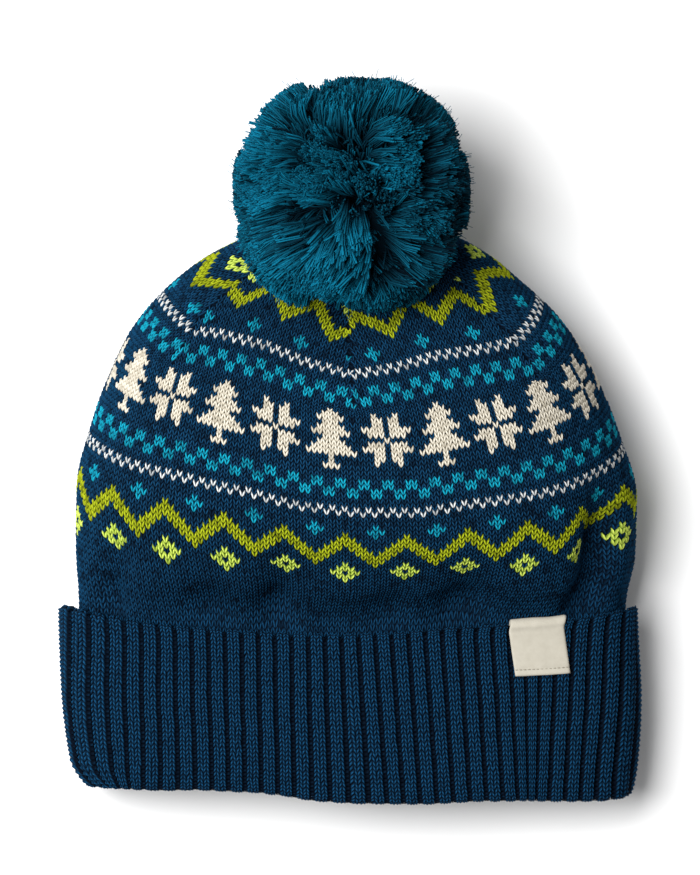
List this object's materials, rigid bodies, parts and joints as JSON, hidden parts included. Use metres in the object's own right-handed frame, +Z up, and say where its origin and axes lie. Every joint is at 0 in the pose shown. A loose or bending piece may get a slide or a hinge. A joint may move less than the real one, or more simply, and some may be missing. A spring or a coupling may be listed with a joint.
{
  "type": "pompom beanie",
  "caption": "Knitted winter beanie lying on its back, with a patterned crown, a turned-up ribbed cuff with a blank woven label, and a large yarn pompom.",
  "frame": {"origin": "on the floor, on the flat back of the crown under the middle of the hat", "axes": "+Z up through the front of the hat, +Y along the hat from the brim to the pompom, +X to the right seen from above"},
  "size_m": [0.2308, 0.2947, 0.1206],
  "materials": {
    "jacquard_knit": "matte fine-gauge knit in navy with teal, lime, yellow-green, white and cream pattern stitches",
    "rib_knit": "matte navy two-by-one rib knit",
    "label_cloth": "matte cream woven tape, blank",
    "pompom_yarn": "soft matte cut yarn in deep teal"
  },
  "bodies": {
    "root": {"crown": "jacquard_knit", "cuff": "rib_knit", "label": "label_cloth", "pompom": "pompom_yarn"}
  },
  "joints": []
}
